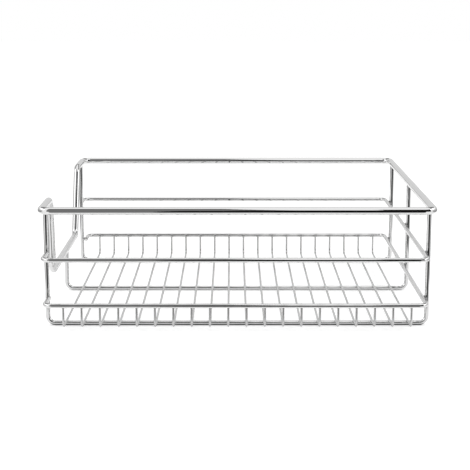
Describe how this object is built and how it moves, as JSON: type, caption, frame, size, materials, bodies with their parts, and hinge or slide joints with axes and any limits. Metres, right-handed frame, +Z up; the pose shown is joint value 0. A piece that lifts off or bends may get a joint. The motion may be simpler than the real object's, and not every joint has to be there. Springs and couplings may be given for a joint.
{
  "type": "pull-out cabinet basket",
  "caption": "Shallow rectangular wire basket for a cabinet pull-out: thick rim dipping low on the left, thinner rails, U frames and a floor of thin wires, all bright chrome.",
  "frame": {"origin": "on the floor plane under the middle of the basket's outer box", "axes": "+X to the right seen from the front, +Y from the front to the back, +Z up; the dip in the rim is on the -X side"},
  "size_m": [0.42, 0.4, 0.1365],
  "materials": {
    "rim": "bright chrome plate on 8 mm steel wire, smooth and polished",
    "rails": "bright chrome plate on 5 mm steel wire, smooth and polished",
    "frames": "bright chrome plate on 5 mm steel wire, smooth and polished",
    "floor_wires": "bright chrome plate on 2.5 mm steel wire, smooth and polished"
  },
  "bodies": {
    "root": {"top_rim": "rim", "middle_rail": "rails", "lower_rail": "rails", "front_frame": "frames", "middle_frame": "frames", "back_frame": "frames", "floor_wire_1": "floor_wires", "floor_wire_2": "floor_wires", "floor_wire_3": "floor_wires", "floor_wire_4": "floor_wires", "floor_wire_5": "floor_wires", "floor_wire_6": "floor_wires", "floor_wire_7": "floor_wires", "floor_wire_8": "floor_wires", "floor_wire_9": "floor_wires", "floor_wire_10": "floor_wires", "floor_wire_11": "floor_wires", "floor_wire_12": "floor_wires", "floor_wire_13": "floor_wires", "floor_wire_14": "floor_wires", "floor_wire_15": "floor_wires", "floor_wire_16": "floor_wires", "floor_wire_17": "floor_wires", "floor_wire_18": "floor_wires", "floor_wire_19": "floor_wires", "floor_wire_20": "floor_wires"}
  },
  "joints": []
}
